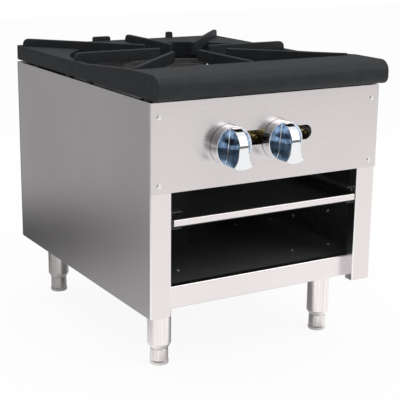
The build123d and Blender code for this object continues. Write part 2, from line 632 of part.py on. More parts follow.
manifold_len = supply_x - elbow_r - 1 - slack - manifold_x0
manifold = rod(manifold_x0, MY, MZ, pipe_r, manifold_len, "x") \
    - rod(manifold_x0 - 1, MY, MZ, pipe_r - pipe_wall, manifold_len + 2, "x")
for x in knob_x:
    manifold -= rod(x, MY, MZ, spigot_r + running, 30)
for x in pilot_x:
    manifold -= rod(x, MY, MZ, pilot_spigot_r + running, 30)
save("manifold_pipe", manifold)
cap = rod(manifold_x0 - 6, MY, MZ, pipe_r + 3.5, 20, "x")
cap -= rod(manifold_x0, MY, MZ, pipe_r + running, 20, "x")
save("manifold_cap", cap)

elbow_plane = Plane(origin=(supply_x - elbow_r, MY + elbow_r, MZ), z_dir=(0, 0, 1))
spine = elbow_plane * CenterArc((0, 0), elbow_r, -90, 90)
elbow_face = Plane(origin=(supply_x - elbow_r, MY, MZ), z_dir=(1, 0, 0))
elbow = sweep(elbow_face * Circle(pipe_r + 1.5), path=spine)
elbow += rod(supply_x - elbow_r - 11, MY, MZ, pipe_r + 4, 12, "x")
elbow += rod(supply_x, MY + elbow_r - 1, MZ, pipe_r + 4, 12, "y")
elbow -= sweep(elbow_face * Circle(pipe_r - pipe_wall), path=spine)
elbow -= rod(supply_x - elbow_r - 20, MY, MZ, pipe_r + running, 20, "x")
elbow -= rod(supply_x, MY + elbow_r, MZ, pipe_r + running, 20, "y")
save("pipe_elbow", elbow)
supply_y0 = MY + elbow_r + 2
thread_y = B + inlet_out - thread_len
supply = rod(supply_x, supply_y0, MZ, pipe_r, thread_y - supply_y0, "y")
supply += rod(supply_x, thread_y, MZ, thread_r, thread_len, "y")
supply -= rod(supply_x, supply_y0 - 1, MZ, pipe_r - pipe_wall, B + inlet_out - supply_y0 + 2, "y")
save("supply_pipe", supply)
nut_r = 19.0
save("inlet_locknuts", group(hex_rod(supply_x, y, MZ, nut_r, 6, "y")
                             - rod(supply_x, y - 1, MZ, pipe_r + running, 8, "y")
                             for y in (B - sheet - 6, B)))

bracket_x = (-60.0, 120.0)
brackets = []
for x in bracket_x:
    plate = block(x, x + 3, F + 2, MY + 20, Z0 + vp_z + sheet, MZ + 22)
    plate += block(x, x + 18, F + 2, F + vp_lip, Z0 + vp_z + sheet, Z0 + vp_z + sheet + 3)
    brackets.append(plate - rod(x - 1, MY, MZ, pipe_r + running, 5, "x"))
save("manifold_brackets", group(brackets))

# ---------------------------------------------------------------- pilots
riser_at = ((-36.0, BY - 62.0), (25.0, BY - 57.0))
tip_at = ((-42.0, BY - 75.0), (20.5, BY - 47.0))
clip_x = ((bar_x[0] - 17, bar_x[0] + 4), (bar_x[1] - 19, bar_x[1] + 4))
hook_z = ZT + 8.0
pilot_rise = 8.0
turn_y = F + 150.0
valves, tubes, clips = [], [], []
for side, x, riser, tip, clip in zip(("left", "right"), pilot_x, riser_at, tip_at, clip_x):
    body = rod(x, MY, MZ + pipe_r - pipe_wall, pilot_spigot_r, 12)
    body += rod(x, MY, MZ + pipe_r + slack, 7.5, KZ - MZ - pipe_r + 8)
    body += rod(x, F + 20, KZ, 6.0, manifold_y - 20, "y")
    body += hex_rod(x, MY, KZ, 6.0, 20, "y")
    body -= rod(x, F + 19, KZ, 3.0 + running, 12, "y")
    body -= rod(x, MY + 12, KZ, pilot_tube_r + running, 20, "y")
    valves.append(body)
    screw = rod(x, F + 17, KZ, 3.0, 12, "y") + rod(x, F + 15, KZ, 4.0, 2.5, "y")
    screw -= block(x - 5, x + 5, F + 14, F + 16, KZ - 0.5, KZ + 0.5)
    save(f"pilot_screw_{side}", screw)
    rx, ry = riser
    route = [(x, MY + 13, KZ), (x, turn_y, KZ), ((x + rx) / 2, (turn_y + ry) / 2, KZ + 6),
             (rx, ry, KZ + 22), (rx, ry, hook_z), (tip[0], tip[1], hook_z + pilot_rise)]
    path = FilletPolyline(*route, radius=[25, 20, 10, 7])
    tubes.append(sweep(Plane(origin=route[0], z_dir=(0, 1, 0)) * Circle(pilot_tube_r), path=path))
    plate = block(clip[0], clip[1], ry - 6, ry + 6, rail_z + bar_t, rail_z + bar_t + 1.5)
    clips.append(plate - rod(rx, ry, rail_z, pilot_tube_r + running, 10))
save("pilot_valves", group(valves))
save("pilot_tubes", group(tubes))
save("pilot_clips", group(clips))
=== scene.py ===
"""Finishes, small details and studio for a single-burner stock-pot gas range."""

import json
from math import cos, pi, radians, sin

import bmesh
import bpy
from bpy.props import FloatProperty, FloatVectorProperty, IntProperty, PointerProperty
from mathutils import Matrix, Vector


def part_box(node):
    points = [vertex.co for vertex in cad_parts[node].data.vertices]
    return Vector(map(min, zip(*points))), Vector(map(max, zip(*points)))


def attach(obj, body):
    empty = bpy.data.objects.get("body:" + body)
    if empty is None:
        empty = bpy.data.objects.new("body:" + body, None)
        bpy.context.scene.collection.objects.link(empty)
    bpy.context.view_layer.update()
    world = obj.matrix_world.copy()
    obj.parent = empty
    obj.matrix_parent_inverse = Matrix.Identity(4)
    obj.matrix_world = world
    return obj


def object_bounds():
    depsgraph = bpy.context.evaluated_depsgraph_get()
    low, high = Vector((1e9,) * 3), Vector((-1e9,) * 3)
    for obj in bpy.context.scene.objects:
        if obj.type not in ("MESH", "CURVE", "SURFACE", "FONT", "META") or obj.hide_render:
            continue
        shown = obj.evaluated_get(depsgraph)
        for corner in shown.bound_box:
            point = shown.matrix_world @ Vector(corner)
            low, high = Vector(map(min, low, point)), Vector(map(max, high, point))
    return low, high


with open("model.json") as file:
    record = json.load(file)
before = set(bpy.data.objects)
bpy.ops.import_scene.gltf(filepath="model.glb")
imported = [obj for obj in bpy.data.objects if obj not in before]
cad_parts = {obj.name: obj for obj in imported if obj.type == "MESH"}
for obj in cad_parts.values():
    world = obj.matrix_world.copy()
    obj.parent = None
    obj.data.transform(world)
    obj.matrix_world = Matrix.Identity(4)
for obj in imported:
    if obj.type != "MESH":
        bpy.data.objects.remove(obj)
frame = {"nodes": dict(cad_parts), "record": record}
CAD_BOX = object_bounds()

bl_info = {
    "name": "Stock-pot range finisher",
    "version": (1, 0, 0),
    "blender": (4, 5, 0),
    "location": "View3D > Sidebar > Range",
    "description": "Gives the packed stock-pot range its steel, enamel, iron and brass, and its studio",
    "category": "Object",
}

NODES = frame["nodes"]

# What polished metal sees of the floor: dim round patches, each with its centre, the share of light
# left there, the radius of the dim part and the radius where it ends.
DIM_PATCHES = (((-0.34, 0.66, 0.0), 0.22, 0.02, 0.55),
               ((-0.95, -1.75, 0.0), 0.08, 0.55, 0.86))
TO_DIM_SIDE = (-0.5, 0.866, 0.0)    # the floor dims along this direction
DIM_SIDE_SPAN = (-0.10, 0.22)       # from here to here along it, in metres
# Painted shadow: the floor that polished metal sees is dimmed under the range.
UNDER_SPAN = (0.55, 0.88)           # under the range it brightens between these shares of its half size
HORIZON_SPAN = (0.48, 0.80)         # the room brightens between these heights of a direction
FLOOR_SHARE = 0.92                  # the rest of the seen floor is shaded by the lamps
FLOOR_SIZE = 6.0                    # half its width, in metres
UPRIGHT_STROKES = (520.0, 520.0, 4.0)   # polishing strokes along a leg, per metre
EVEN_GRAIN = (900.0, 900.0, 900.0)      # plating grain of the screws and nuts, per metre
TUBE_GRAIN = (90.0, 90.0, 90.0)         # soft waves of the pilot tubes, per metre
# Painted highlight: near-white colour laid along the sheets' bends, standing in for the light they catch.
BEND_HIGHLIGHT = (0.97, 0.97, 0.98)           # steel along the sheets' bends
KNOB_BACK = (0.03, 0.03, 0.032)
KNOB_LIP = (0.0024, 0.0016)             # in from a knob's rim, where the lip turns into the dish
THREAD_ENDS = (0.0003, 0.0006)          # bare pipe before and after the thread
THREAD_SINK = 0.0002                    # how deep its root sits in the pipe
THREAD_FOOT, THREAD_CREST = 0.45, 0.08  # half widths of a turn, in pitches
THREAD_FADED = 0.05                     # share of the height left at both ends


# ---------------------------------------------------------------- settings a user may change
class RangeMetalSettings(bpy.types.PropertyGroup):
    """Tones of the stainless steel and the galvanised sheet."""

    # Painted shade: the sides take a darker tone than the columns' fronts, which are the same folded
    # sheet.
    shaded_side_steel: FloatVectorProperty(
        name="Side steel", description="Brushed steel of the two cabinet sides", subtype="COLOR",
        size=3, min=0, max=1, default=(0.70, 0.67, 0.69))
    # Painted light: the columns' front faces take a lighter tone than the sides of the same sheet.
    lit_column_steel: FloatVectorProperty(
        name="Column steel", description="Front faces of the two columns", subtype="COLOR",
        size=3, min=0, max=1, default=(0.83, 0.775, 0.765))
    front_steel: FloatVectorProperty(
        name="Front steel", description="Steel of the valve panel, rail and tray lip", subtype="COLOR",
        size=3, min=0, max=1, default=(0.75, 0.705, 0.705))
    leg_steel: FloatVectorProperty(
        name="Leg steel", description="Turned steel of the legs and feet", subtype="COLOR",
        size=3, min=0, max=1, default=(0.90, 0.85, 0.84))
    zinc_sheet: FloatVectorProperty(
        name="Zinc sheet", description="Galvanised sheet of the hidden brackets", subtype="COLOR",
        size=3, min=0, max=1, default=(0.46, 0.47, 0.49))
    screw_steel: FloatVectorProperty(
        name="Screw steel", description="Plated screws and nuts", subtype="COLOR",
        size=3, min=0, max=1, default=(0.92, 0.91, 0.89))
    brush_pitch: FloatProperty(
        name="Brush pitch", description="Width of one brush stroke across the sheet", subtype="DISTANCE",
        unit="LENGTH", min=0.0001, max=0.01, default=0.0008)


class RangeDarkSettings(bpy.types.PropertyGroup):
    """Tones of the iron, enamel and pipe."""

    grate_iron: FloatVectorProperty(
        name="Grate iron", description="Seasoned cast iron of the top grate", subtype="COLOR",
        size=3, min=0, max=1, default=(0.017, 0.019, 0.022))
    burner_iron: FloatVectorProperty(
        name="Burner iron", description="Heat-greyed iron of the burner", subtype="COLOR",
        size=3, min=0, max=1, default=(0.02, 0.02, 0.021))
    enamel: FloatVectorProperty(
        name="Black enamel", description="Glossy enamel inside the cabinet", subtype="COLOR",
        size=3, min=0, max=1, default=(0.052, 0.053, 0.054))
    pipe_black: FloatVectorProperty(
        name="Pipe black", description="Lacquered black iron pipe", subtype="COLOR",
        size=3, min=0, max=1, default=(0.022, 0.022, 0.024))
    sand_grain: FloatProperty(
        name="Sand grain", description="Size of the casting's sand texture", subtype="DISTANCE",
        unit="LENGTH", min=0.0002, max=0.01, default=0.0014)


class RangeTrimSettings(bpy.types.PropertyGroup):
    """Chrome, brass and alloy."""

    chrome: FloatVectorProperty(
        name="Chrome", description="Polished chrome of the knobs", subtype="COLOR",
        size=3, min=0, max=1, default=(0.86, 0.87, 0.89))
    grip_tint: FloatVectorProperty(
        name="Grip tint", description="Steel-blue of the scooped sides of the knobs", subtype="COLOR",
        size=3, min=0, max=1, default=(0.40, 0.50, 0.63))
    skirt_depth: FloatProperty(
        name="Skirt depth", description="Depth of a knob's round skirt behind its dish",
        subtype="DISTANCE", unit="LENGTH", min=0.005, max=0.04, default=0.020)
    brass: FloatVectorProperty(
        name="Brass", description="Machined brass of the valves", subtype="COLOR",
        size=3, min=0, max=1, default=(0.62, 0.47, 0.22))
    pilot_alloy: FloatVectorProperty(
        name="Pilot tube alloy", description="Soft aluminium of the pilot tubes", subtype="COLOR",
        size=3, min=0, max=1, default=(0.50, 0.50, 0.52))


class RangeThreadSettings(bpy.types.PropertyGroup):
    """Pipe thread on the gas inlet."""

    pitch: FloatProperty(
        name="Pitch", description="Distance between two turns of the inlet's thread", subtype="DISTANCE",
        unit="LENGTH", min=0.0008, max=0.004, default=0.0018)
    height: FloatProperty(
        name="Height", description="How far a crest stands out of the thread's root", subtype="DISTANCE",
        unit="LENGTH", min=0.0001, max=0.002, default=0.0004)
    sides: IntProperty(
        name="Sides", description="Points round one turn of the thread", min=12, max=96, default=40)


class RangeStudioSettings(bpy.types.PropertyGroup):
    """Camera, lamps and surroundings."""

    lens: FloatProperty(
        name="Lens", description="Focal length of the camera", subtype="DISTANCE_CAMERA",
        min=20, max=200, default=97.02)
    camera_place: FloatVectorProperty(
        name="Camera place", description="Where the camera stands", subtype="TRANSLATION", unit="LENGTH",
        size=3, default=(-1.0092, -1.7354, 0.7557))
    azimuth: FloatProperty(
        name="Azimuth",
        description="Camera heading, anticlockwise from straight ahead of the range, in degrees",
        default=-30.75)
    elevation: FloatProperty(
        name="Elevation", description="How far the camera looks down, in degrees", default=14.72)
    roll: FloatProperty(
        name="Roll", description="Tilt of the camera about its view, in degrees", default=0.66)
    key_power: FloatProperty(
        name="Key power", description="Large soft lamp over the front right", subtype="POWER",
        unit="POWER", min=0, default=26)
    top_power: FloatProperty(
        name="Top power", description="Soft lamp above the range", subtype="POWER",
        unit="POWER", min=0, default=14)
    room_level: FloatProperty(
        name="Room level", description="Plain light of the surroundings on everything", min=0, max=2,
        default=0.82)
    mirror_side: FloatProperty(
        name="Mirrored side", description="How bright polished metal sees the floor at the left",
        min=0, max=1, default=0.41)
    mirror_under: FloatProperty(
        name="Mirrored underside", description="How bright polished metal sees the floor under the range",
        min=0, max=1, default=0.22)
    mirror_horizon: FloatProperty(
        name="Mirrored horizon", description="How bright polished metal sees the far end of the room",
        min=0, max=1, default=0.20)


SETTINGS = {
    "range_metal": RangeMetalSettings,
    "range_dark": RangeDarkSettings,
    "range_trim": RangeTrimSettings,
    "range_thread": RangeThreadSettings,
    "range_studio": RangeStudioSettings,
}


# ---------------------------------------------------------------- node helpers
def set_range(node, start, end, low, high):
    """Makes a Map Range node go from low to high as its value goes from start to end."""
    for socket, number in zip(("From Min", "From Max", "To Min", "To Max"), (start, end, low, high)):
        node.inputs[socket].default_value = number


class Finish:
    """A material under construction: adds nodes, keeps them in a tidy row and joins sockets."""

    def __init__(self, name, metallic=0.0, roughness=0.5, colour=(0.5, 0.5, 0.5), specular=0.5,
                 coat=0.0, coat_roughness=0.1):
        self.material = bpy.data.materials.new(name)
        self.material.use_nodes = True
        self.tree = self.material.node_tree
        self.tree.nodes.clear()
        self.column = 0
        self.output = self.add("ShaderNodeOutputMaterial")
        self.bsdf = self.add("ShaderNodeBsdfPrincipled")
        self.join(self.bsdf.outputs["BSDF"], self.output.inputs["Surface"])
        values = {"Metallic": metallic, "Roughness": roughness, "Base Color": (*colour, 1.0),
                  "Specular IOR Level": specular, "Coat Weight": coat, "Coat Roughness": coat_roughness}
        for socket, value in values.items():
            self.bsdf.inputs[socket].default_value = value
        self.coords = self.add("ShaderNodeTexCoord")

    def add(self, kind, **options):
        node = self.tree.nodes.new(kind)
        node.location = (-180 * self.column, 0)
        self.column += 1
        for key, value in options.items():
            setattr(node, key, value)
        return node

    def join(self, source, target):
        self.tree.links.new(source, target)

    def stretched(self, scale):
        """Object coordinates scaled by three numbers, in strokes per metre."""
        mapping = self.add("ShaderNodeMapping")
        mapping.inputs["Scale"].default_value = scale
        self.join(self.coords.outputs["Object"], mapping.inputs["Vector"])
        return mapping.outputs["Vector"]

    def noise(self, vector, scale=1.0, detail=2.0, roughness=0.5):
        node = self.add("ShaderNodeTexNoise")
        node.inputs["Scale"].default_value = scale
        node.inputs["Detail"].default_value = detail
        node.inputs["Roughness"].default_value = roughness
        self.join(vector, node.inputs["Vector"])
        return node.outputs["Fac"]

    def remap(self, value, low, high, start=0.0, end=1.0):
        node = self.add("ShaderNodeMapRange")
        set_range(node, start, end, low, high)
        self.join(value, node.inputs["Value"])
        return node.outputs["Result"]

    def math(self, operation, first, second=None):
        node = self.add("ShaderNodeMath", operation=operation)
        for socket, value in zip(node.inputs, (first, second)):
            if value is None:
                continue
            if isinstance(value, (int, float)):
                socket.default_value = value
            else:
                self.join(value, socket)
        return node.outputs["Value"]

    def blend(self, factor, first, second):
        """Mixes two colours by a factor socket."""
        node = self.add("ShaderNodeMix", data_type="RGBA")
        self.join(factor, node.inputs[0])
        for socket, value in zip((node.inputs[6], node.inputs[7]), (first, second)):
            if isinstance(value, (tuple, list)):
                socket.default_value = (*value, 1.0)
            else:
                self.join(value, socket)
        return node.outputs[2]

    def bump(self, height, distance, strength=1.0, normal=None):
        node = self.add("ShaderNodeBump")
        node.inputs["Strength"].default_value = strength
        node.inputs["Distance"].default_value = distance
        self.join(height, node.inputs["Height"])
        if normal is not None:
            self.join(normal, node.inputs["Normal"])
        return node.outputs["Normal"]

    def soft_edges(self, radius, samples=4):
        node = self.add("ShaderNodeBevel", samples=samples)
        node.inputs["Radius"].default_value = radius
        return node.outputs["Normal"]

    def wear_and_highlight_edges(self, radius):
        """1 along the edges, where a rounded normal leaves the face's own, and 0 elsewhere."""
        face = self.add("ShaderNodeNewGeometry")
        dot = self.add("ShaderNodeVectorMath", operation="DOT_PRODUCT")
        self.join(self.soft_edges(radius), dot.inputs[0])
        self.join(face.outputs["Normal"], dot.inputs[1])
        return self.remap(dot.outputs["Value"], 1, 0, 0.80, 0.97)

    def facing(self, axis, start, end):
        """Goes from 0 to 1 as the surface turns to face along an axis of the range."""
        parts = self.add("ShaderNodeSeparateXYZ")
        self.join(self.coords.outputs["Normal"], parts.inputs["Vector"])
        return self.remap(parts.outputs[axis], 0, 1, start, end)

    def either_way(self, axis, start, end):
        """The same towards both ends of an axis."""
        return self.math("MAXIMUM", self.facing(axis, start, end), self.facing(axis, -start, -end))

    def use(self, socket, source):
        self.join(source, self.bsdf.inputs[socket])


def shade(colour, factor):
    """A colour made darker or lighter, with no part over 1."""
    return tuple(min(1.0, c * factor) for c in colour)


def brushed_steel(name, tone, along, roughness, pitch, spread=0.04, edge=0.0008, drift=0.05, grain=1.0,
                  front=None):
    """Steel with brush strokes along one axis, slow tone drift, bends painted near white as a highlight
    and, when a front tone is given, front faces painted lighter than the sides.
    """
    finish = Finish(name, metallic=1.0, roughness=roughness, colour=tone)
    scale = [1.0 / pitch] * 3
    scale["xyz".index(along)] = 6.0
    strokes = finish.noise(finish.stretched(scale), detail=4.0, roughness=0.6)
    finish.use("Roughness", finish.remap(strokes, roughness - spread, roughness + spread, 0.3, 0.7))
    clouds = finish.noise(finish.coords.outputs["Object"], scale=3.2, detail=2.0)
    clouds = finish.remap(clouds, 0, 1, 0.3, 0.7)
    slow = finish.blend(clouds, shade(tone, 1 - drift), shade(tone, 1 + drift))
    fine = finish.remap(strokes, 0.0, 0.16, 0.3, 0.7)
    sheet = finish.blend(finish.math("MULTIPLY", fine, grain), slow, shade(tone, 0.9))
    # Painted light: faces that look to the front switch to the lighter front tone.
    if front is not None:
        sheet = finish.blend(finish.facing("Y", -0.5, -0.9), sheet, front)
    # Painted highlight: the bends, where the normal lies between the side and the front, turn near white.
    bends = finish.math("MULTIPLY", finish.either_way("X", 0.12, 0.25), finish.facing("Y", -0.12, -0.25))
    finish.use("Base Color", finish.blend(bends, sheet, BEND_HIGHLIGHT))
    finish.use("Normal", finish.bump(strokes, 0.000004, 0.12 * grain, finish.soft_edges(edge)))
    return finish.material


def turned_steel(name, tone, roughness, strokes, spread=0.05, bump=0.05):
    """Round steel with fine polishing strokes, stretched by three scales, and a slow tone drift."""
    finish = Finish(name, metallic=1.0, roughness=roughness, colour=tone)
    grain = finish.remap(finish.noise(finish.stretched(strokes), detail=2.0), 0, 1, 0.3, 0.7)
    finish.use("Roughness", finish.remap(grain, roughness - 0.015, roughness + 0.015))
    finish.use("Base Color", finish.blend(grain, shade(tone, 1 - spread), shade(tone, 1 + spread)))
    finish.use("Normal", finish.bump(grain, 0.000008, bump, finish.soft_edges(0.0006)))
    return finish.material


def cast_iron(name, tone, grain, roughness, edge_wear_and_highlight=2.2):
    """Sand-cast iron: a fine grain, shallow lumps and edges lighter, partly rubbed wear and partly a
    painted highlight.
    """
    finish = Finish(name, roughness=roughness, colour=tone, specular=0.28)
    here = finish.coords.outputs["Object"]
    sand = finish.noise(here, scale=1.0 / grain, detail=3.0, roughness=0.6)
    lumps = finish.noise(here, scale=60.0, detail=2.0)
    finish.use("Roughness", finish.remap(sand, roughness - 0.10, roughness + 0.12, 0.25, 0.75))
    iron = finish.blend(finish.remap(lumps, 0, 1, 0.25, 0.75), shade(tone, 0.82), shade(tone, 1.2))
    # Edges lighter: partly rubbed wear, partly a painted highlight standing in for the light they catch.
    finish.use("Base Color", finish.blend(finish.wear_and_highlight_edges(0.0016), iron, shade(tone, edge_wear_and_highlight)))
    rough_face = finish.bump(sand, 0.00018, 0.55, finish.soft_edges(0.0012))
    finish.use("Normal", finish.bump(lumps, 0.0006, 0.25, rough_face))
    return finish.material


def glossy_enamel(name, tone, roughness):
    """Black enamel with a faint orange-peel and a dusting of lighter specks."""
    finish = Finish(name, roughness=roughness, colour=tone, specular=0.5, coat=0.35, coat_roughness=0.06)
    here = finish.coords.outputs["Object"]
    peel = finish.noise(here, scale=260.0, detail=1.0)
    dust = finish.noise(here, scale=900.0, detail=2.0)
    finish.use("Base Color", finish.blend(finish.remap(dust, 0, 1, 0.55, 0.8), tone, shade(tone, 2.6)))
    finish.use("Roughness", finish.remap(peel, roughness - 0.04, roughness + 0.06, 0.2, 0.8))
    finish.use("Normal", finish.bump(peel, 0.00006, 0.3))
    return finish.material


def chrome_knob(name, tone, tint, axis, rim, front):
    """Chrome, steel-blue in the dish and on the bar's walls where fingers hold, near black on the faces
    that look back to the panel.
    """
    finish = Finish(name, metallic=1.0, roughness=0.06, colour=tone)
    place = finish.add("ShaderNodeSeparateXYZ")
    finish.join(finish.coords.outputs["Object"], place.inputs["Vector"])
    dx = finish.math("SUBTRACT", place.outputs["X"], axis.x)
    dz = finish.math("SUBTRACT", place.outputs["Z"], axis.z)
    square = finish.math("ADD", finish.math("MULTIPLY", dx, dx), finish.math("MULTIPLY", dz, dz))
    reach = finish.math("SQRT", square)
    inside = finish.remap(reach, 1, 0, rim - KNOB_LIP[0], rim - KNOB_LIP[1])
    walls = finish.math("MULTIPLY", finish.either_way("X", 0.3, 0.45), finish.facing("Y", -0.5, -0.3))
    deep = finish.remap(place.outputs["Y"], 0, 1, front - 0.0004, front)
    dish = finish.math("MULTIPLY", deep, finish.facing("Y", -0.90, -0.95))
    scoop = finish.math("MULTIPLY", inside, finish.math("MAXIMUM", walls, dish))
    haze = finish.noise(finish.coords.outputs["Object"], scale=85.0, detail=3.0)
    blue = finish.blend(finish.remap(haze, 0, 1, 0.38, 0.62), shade(tint, 0.6), shade(tint, 1.4))
    face = finish.blend(scoop, tone, blue)
    # Faces that look back towards the panel are made near black.
    finish.use("Base Color", finish.blend(finish.facing("Y", 0.7, 0.9), face, KNOB_BACK))
    finish.use("Roughness", finish.remap(haze, 0.04, 0.11, 0.3, 0.7))
    finish.use("Normal", finish.soft_edges(0.0006))
    return finish.material


def lined_sheet(name, outside, inside, roughness):
    """Zinc sheet outside, black enamel on the face that looks to the front."""
    finish = Finish(name, roughness=roughness, colour=outside)
    inner = finish.facing("Y", -0.4, -0.6)
    spangle = finish.noise(finish.coords.outputs["Object"], scale=45.0, detail=3.0)
    zinc = finish.blend(finish.remap(spangle, 0, 1, 0.3, 0.7), shade(outside, 0.88), shade(outside, 1.1))
    finish.use("Base Color", finish.blend(inner, zinc, inside))
    finish.use("Metallic", finish.remap(inner, 1, 0))
    finish.use("Roughness", finish.remap(inner, roughness, 0.2))
    finish.use("Normal", finish.soft_edges(0.0006))
    return finish.material


def machined_brass(name, tone):
    """Turned brass with dull patches."""
    finish = Finish(name, metallic=1.0, roughness=0.3, colour=tone)
    here = finish.coords.outputs["Object"]
    dull = finish.noise(here, scale=120.0, detail=3.0)
    finish.use("Base Color", finish.blend(finish.remap(dull, 0, 1, 0.35, 0.7), tone, shade(tone, 0.45)))
    finish.use("Roughness", finish.remap(dull, 0.2, 0.45, 0.3, 0.7))
    finish.use("Normal", finish.soft_edges(0.0005))
    return finish.material


def lacquered_pipe(name, tone):
    """Black pipe, slightly rough, with dusty patches."""
    finish = Finish(name, roughness=0.4, colour=tone, specular=0.5)
    here = finish.coords.outputs["Object"]
    dust = finish.noise(here, scale=45.0, detail=4.0)
    finish.use("Base Color", finish.blend(finish.remap(dust, 0, 1, 0.4, 0.75), tone, shade(tone, 2.4)))
    finish.use("Roughness", finish.remap(dust, 0.3, 0.6, 0.3, 0.7))
    skin = finish.noise(here, scale=420.0)
    finish.use("Normal", finish.bump(skin, 0.00008, 0.4, finish.soft_edges(0.0006)))
    return finish.material


def galvanised(name, tone):
    """Zinc sheet with soft spangles."""
    finish = Finish(name, metallic=1.0, roughness=0.42, colour=tone)
    spangle = finish.add("ShaderNodeTexVoronoi")
    spangle.inputs["Scale"].default_value = 90.0
    finish.join(finish.coords.outputs["Object"], spangle.inputs["Vector"])
    patch = finish.remap(spangle.outputs["Distance"], 0, 1, 0.1, 0.7)
    finish.use("Base Color", finish.blend(patch, shade(tone, 0.86), shade(tone, 1.12)))
    finish.use("Roughness", finish.remap(patch, 0.36, 0.5))
    finish.use("Normal", finish.soft_edges(0.0006))
    return finish.material


def paint(material, *names):
    """Gives packed pieces a finish on every one of their slots."""
    for name in names:
        slots = NODES[name].data.materials
        slots.clear()
        slots.append(material)


def starting(*beginnings):
    """Names of the packed pieces that begin in one of these ways, in order."""
    return [n for n in sorted(NODES) if n.startswith(beginnings)]


# ---------------------------------------------------------------- operators
class RANGE_OT_cabinet_steel(bpy.types.Operator):
    """Brushes the stainless sheets of the cabinet"""

    bl_idname = "range.cabinet_steel"
    bl_label = "Cabinet steel"

    def execute(self, context):
        metal = context.scene.range_metal
        front, zinc = tuple(metal.front_steel), tuple(metal.zinc_sheet)
        # Painted light: the enamel inside the back sheet is made three times lighter than its own tone,
        # standing in for the light it reflects.
        enamel = shade(context.scene.range_dark.enamel, 3.0)
        # Painted light and shade: one sheet, darker on the sides and lighter on the front faces.
        paint(brushed_steel("shaded_side_steel", tuple(metal.shaded_side_steel), "y", roughness=0.25,
                            pitch=metal.brush_pitch, spread=0.015, grain=0.25,
                            front=tuple(metal.lit_column_steel)),
              *starting("side_panel"))
        paint(brushed_steel("panel_steel", front, "x", roughness=0.27, pitch=metal.brush_pitch,
                            spread=0.02, grain=0.3),
              "valve_panel")
        paint(brushed_steel("rail_steel", shade(front, 1.14), "x", roughness=0.24,
                            pitch=metal.brush_pitch),
              "base_front_rail", "drip_tray_lip")
        paint(lined_sheet("back_sheet_lit_inside", zinc, enamel, roughness=0.36), "back_panel")
        return {"FINISHED"}


class RANGE_OT_inner_enamel(bpy.types.Operator):
    """Enamels the inside of the cabinet and the drip tray"""

    bl_idname = "range.inner_enamel"
    bl_label = "Inner enamel"

    def execute(self, context):
        enamel = tuple(context.scene.range_dark.enamel)
        # Painted shade: the walls and runners take the enamel darker than its own tone.
        paint(glossy_enamel("shaded_wall_enamel", shade(enamel, 0.6), roughness=0.16),
              *starting("inner_liner", "tray_runner"))
        # Painted light: the shelf takes the same enamel lighter than its own tone.
        paint(glossy_enamel("lit_shelf_enamel", shade(enamel, 1.6), roughness=0.18), "base_shelf")
        paint(glossy_enamel("tray_enamel", shade(enamel, 0.35), roughness=0.22), "drip_tray")
        # Painted shade: the brackets, rails and bars take the zinc darker than the shutters' zinc.
        paint(galvanised("shaded_hidden_sheet", shade(context.scene.range_metal.zinc_sheet, 0.7)),
              "rear_top_rail", "manifold_brackets", "inner_burner_bars", "pilot_clips",
              *starting("leg_channel", "burner_rail"))
        return {"FINISHED"}


class RANGE_OT_castings(bpy.types.Operator):
    """Gives the grate and the burner their sand-cast iron"""

    bl_idname = "range.castings"
    bl_label = "Castings"

    def execute(self, context):
        dark = context.scene.range_dark
        paint(cast_iron("grate_iron", tuple(dark.grate_iron), dark.sand_grain, roughness=0.52),
              *starting("grate_"))
        paint(cast_iron("burner_iron", tuple(dark.burner_iron), dark.sand_grain, roughness=0.68,
                        edge_wear_and_highlight=1.5),
              *starting("outer_burner", "inner_burner_ring", "outer_mixing", "inner_mixing"))
        return {"FINISHED"}


class RANGE_OT_knobs(bpy.types.Operator):
    """Chromes the two knobs"""

    bl_idname = "range.knobs"
    bl_label = "Knobs"

    def execute(self, context):
        trim = context.scene.range_trim
        for name in starting("knob_"):
            low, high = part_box(name)
            rim, front = (high.z - low.z) / 2, high.y - trim.skirt_depth
            paint(chrome_knob(f"{name}_chrome", tuple(trim.chrome), tuple(trim.grip_tint),
                              (low + high) / 2, rim, front), name)
        return {"FINISHED"}


class RANGE_OT_gas_train(bpy.types.Operator):
    """Finishes the valves, pilots, shutters and pipes"""

    bl_idname = "range.gas_train"
    bl_label = "Gas train"

    def execute(self, context):
        trim = context.scene.range_trim
        paint(machined_brass("valve_brass", tuple(trim.brass)),
              *starting("gas_valve", "valve_stem", "orifice", "pilot_valves", "pilot_screw"))
        paint(lacquered_pipe("pipe_lacquer", tuple(context.scene.range_dark.pipe_black)),
              "manifold_pipe", "manifold_cap", "pipe_elbow", "supply_pipe", "inlet_locknuts")
        paint(turned_steel("pilot_alloy", tuple(trim.pilot_alloy), roughness=0.35, strokes=TUBE_GRAIN),
              "pilot_tubes")
        paint(galvanised("shutter_zinc", tuple(context.scene.range_metal.zinc_sheet)),
              *starting("outer_air", "inner_air"))
        return {"FINISHED"}


class RANGE_OT_legs(bpy.types.Operator):
    """Polishes the legs and the levelling feet"""

    bl_idname = "range.legs"
    bl_label = "Legs and feet"

    def execute(self, context):
        steel = tuple(context.scene.range_metal.leg_steel)
        paint(turned_steel("leg_tube_steel", steel, roughness=0.20, strokes=UPRIGHT_STROKES, spread=0.12),
              *starting("leg_front", "leg_rear"))
        paint(turned_steel("foot_steel", shade(steel, 0.9), roughness=0.20, strokes=UPRIGHT_STROKES,
                           spread=0.12),
              *starting("foot_"))
        return {"FINISHED"}


class RANGE_OT_fasteners(bpy.types.Operator):
    """Plates the screws and nuts"""

    bl_idname = "range.fasteners"
    bl_label = "Fasteners"

    def execute(self, context):
        steel = tuple(context.scene.range_metal.screw_steel)
        names = [n for n in sorted(NODES) if n.endswith("screws")]
        paint(turned_steel("screw_steel", steel, roughness=0.2, strokes=EVEN_GRAIN), "leg_nuts", *names)
        return {"FINISHED"}


